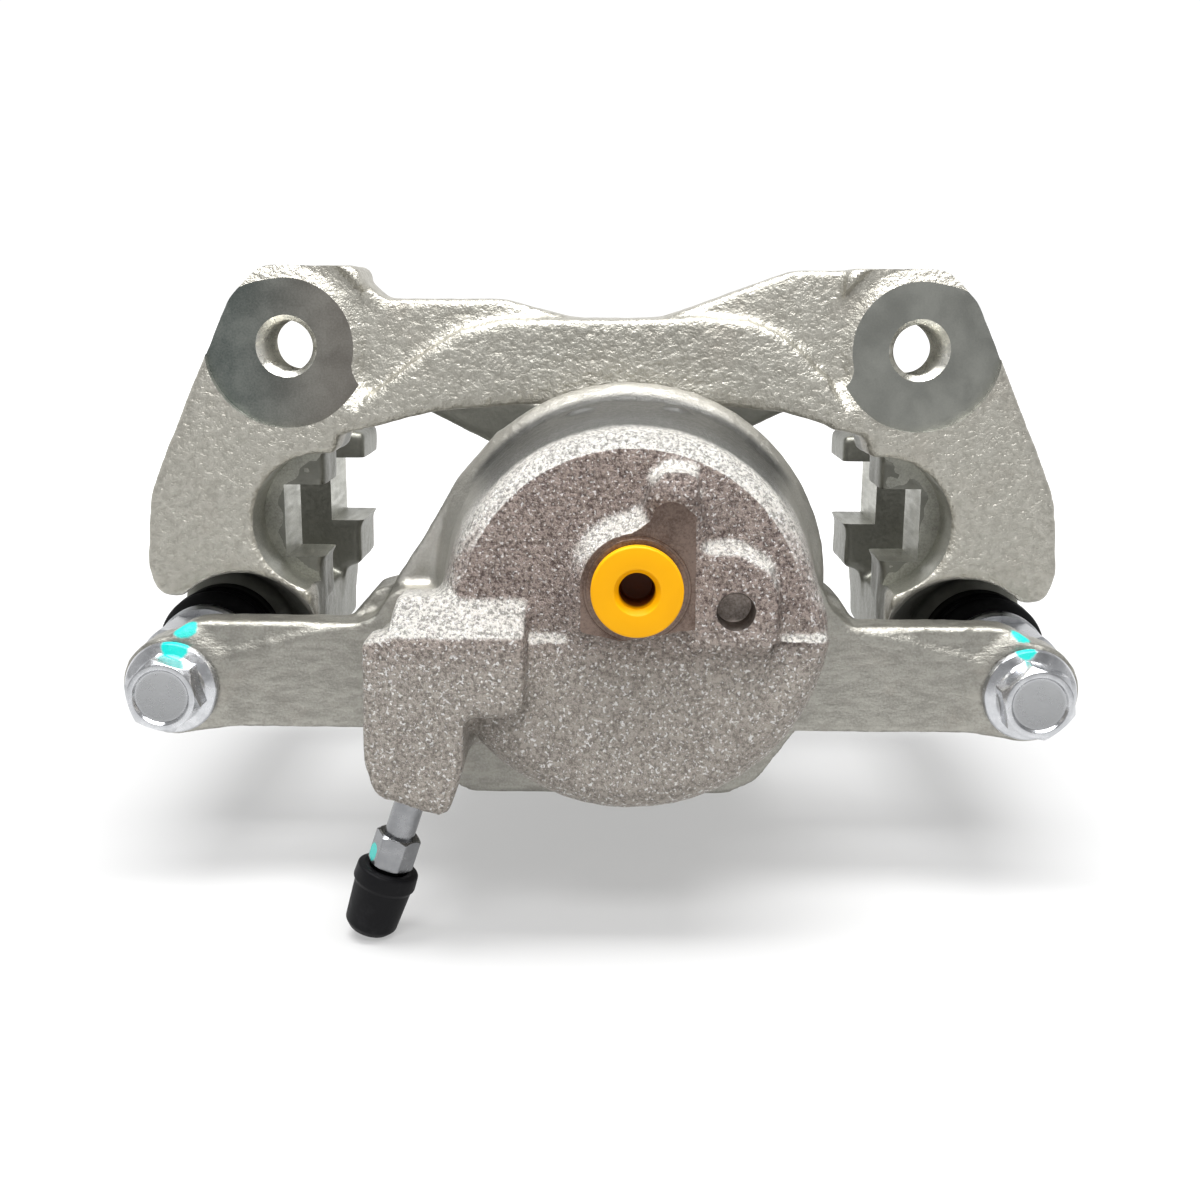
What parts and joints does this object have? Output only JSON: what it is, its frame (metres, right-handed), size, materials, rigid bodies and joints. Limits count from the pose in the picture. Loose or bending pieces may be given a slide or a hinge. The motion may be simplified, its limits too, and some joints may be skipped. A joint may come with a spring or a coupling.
{
  "type": "brake caliper",
  "caption": "Floating disc brake caliper on its mounting bracket, with piston, booted guide pins, bleeder screw and a plugged hose port.",
  "frame": {"origin": "midway between the two bracket mounting holes, on the machined ear faces that bolt to the steering knuckle", "axes": "+X along the bracket towards the right ear seen from inboard, +Y along the piston axis from inboard to outboard, +Z towards the wheel centre"},
  "size_m": [0.2064, 0.1454, 0.13],
  "materials": {
    "cast_bracket": "cast iron with a light silver zinc coating, machined dark at the ear faces and pad guides",
    "cast_housing": "rough cast iron with a brownish grey zinc coating, smoother on the arms and the cylinder wall",
    "zinc": "bright zinc plated steel",
    "chrome": "ground and chromed steel",
    "rubber": "black moulded rubber, satin",
    "yellow_plastic": "yellow orange moulded plastic"
  },
  "bodies": {
    "bracket": {"bracket": "cast_bracket", "guide_pin_boot_left": "rubber", "guide_pin_boot_right": "rubber"},
    "housing": {"housing": "cast_housing", "guide_pin_left": "zinc", "guide_pin_right": "zinc", "guide_pin_bushing": "rubber", "guide_pin_bolt_left": "zinc", "guide_pin_bolt_right": "zinc", "piston_seal": "rubber", "dust_boot_ring": "zinc", "piston_dust_boot": "rubber"},
    "piston": {"piston": "chrome"},
    "bleeder_screw": {"bleeder_screw": "zinc"},
    "bleeder_cap": {"bleeder_cap": "rubber"},
    "inlet_plug": {"inlet_plug": "yellow_plastic"}
  },
  "joints": [
    {"name": "housing_float", "type": "slide", "parent": "bracket", "child": "housing", "axis": [0, 1, 0], "range_m": [-0.016, 0.002], "deforming": ["guide_pin_boot_left", "guide_pin_boot_right"]},
    {"name": "piston_travel", "type": "slide", "parent": "housing", "child": "piston", "axis": [0, 1, 0], "range_m": [0, 0.022], "deforming": ["piston_dust_boot"]},
    {"name": "bleeder_turn", "type": "hinge", "parent": "housing", "child": "bleeder_screw", "pos_m": [-0.0361, -0.04, -0.084], "axis": [-0.3123, 0, -0.95], "range_deg": [0, 270]},
    {"name": "bleeder_cap_pull", "type": "slide", "parent": "bleeder_screw", "child": "bleeder_cap", "axis": [-0.3123, 0, -0.95], "range_m": [0, 0.02]},
    {"name": "inlet_plug_pull", "type": "slide", "parent": "housing", "child": "inlet_plug", "axis": [0, -1, 0], "range_m": [0, 0.025]}
  ]
}
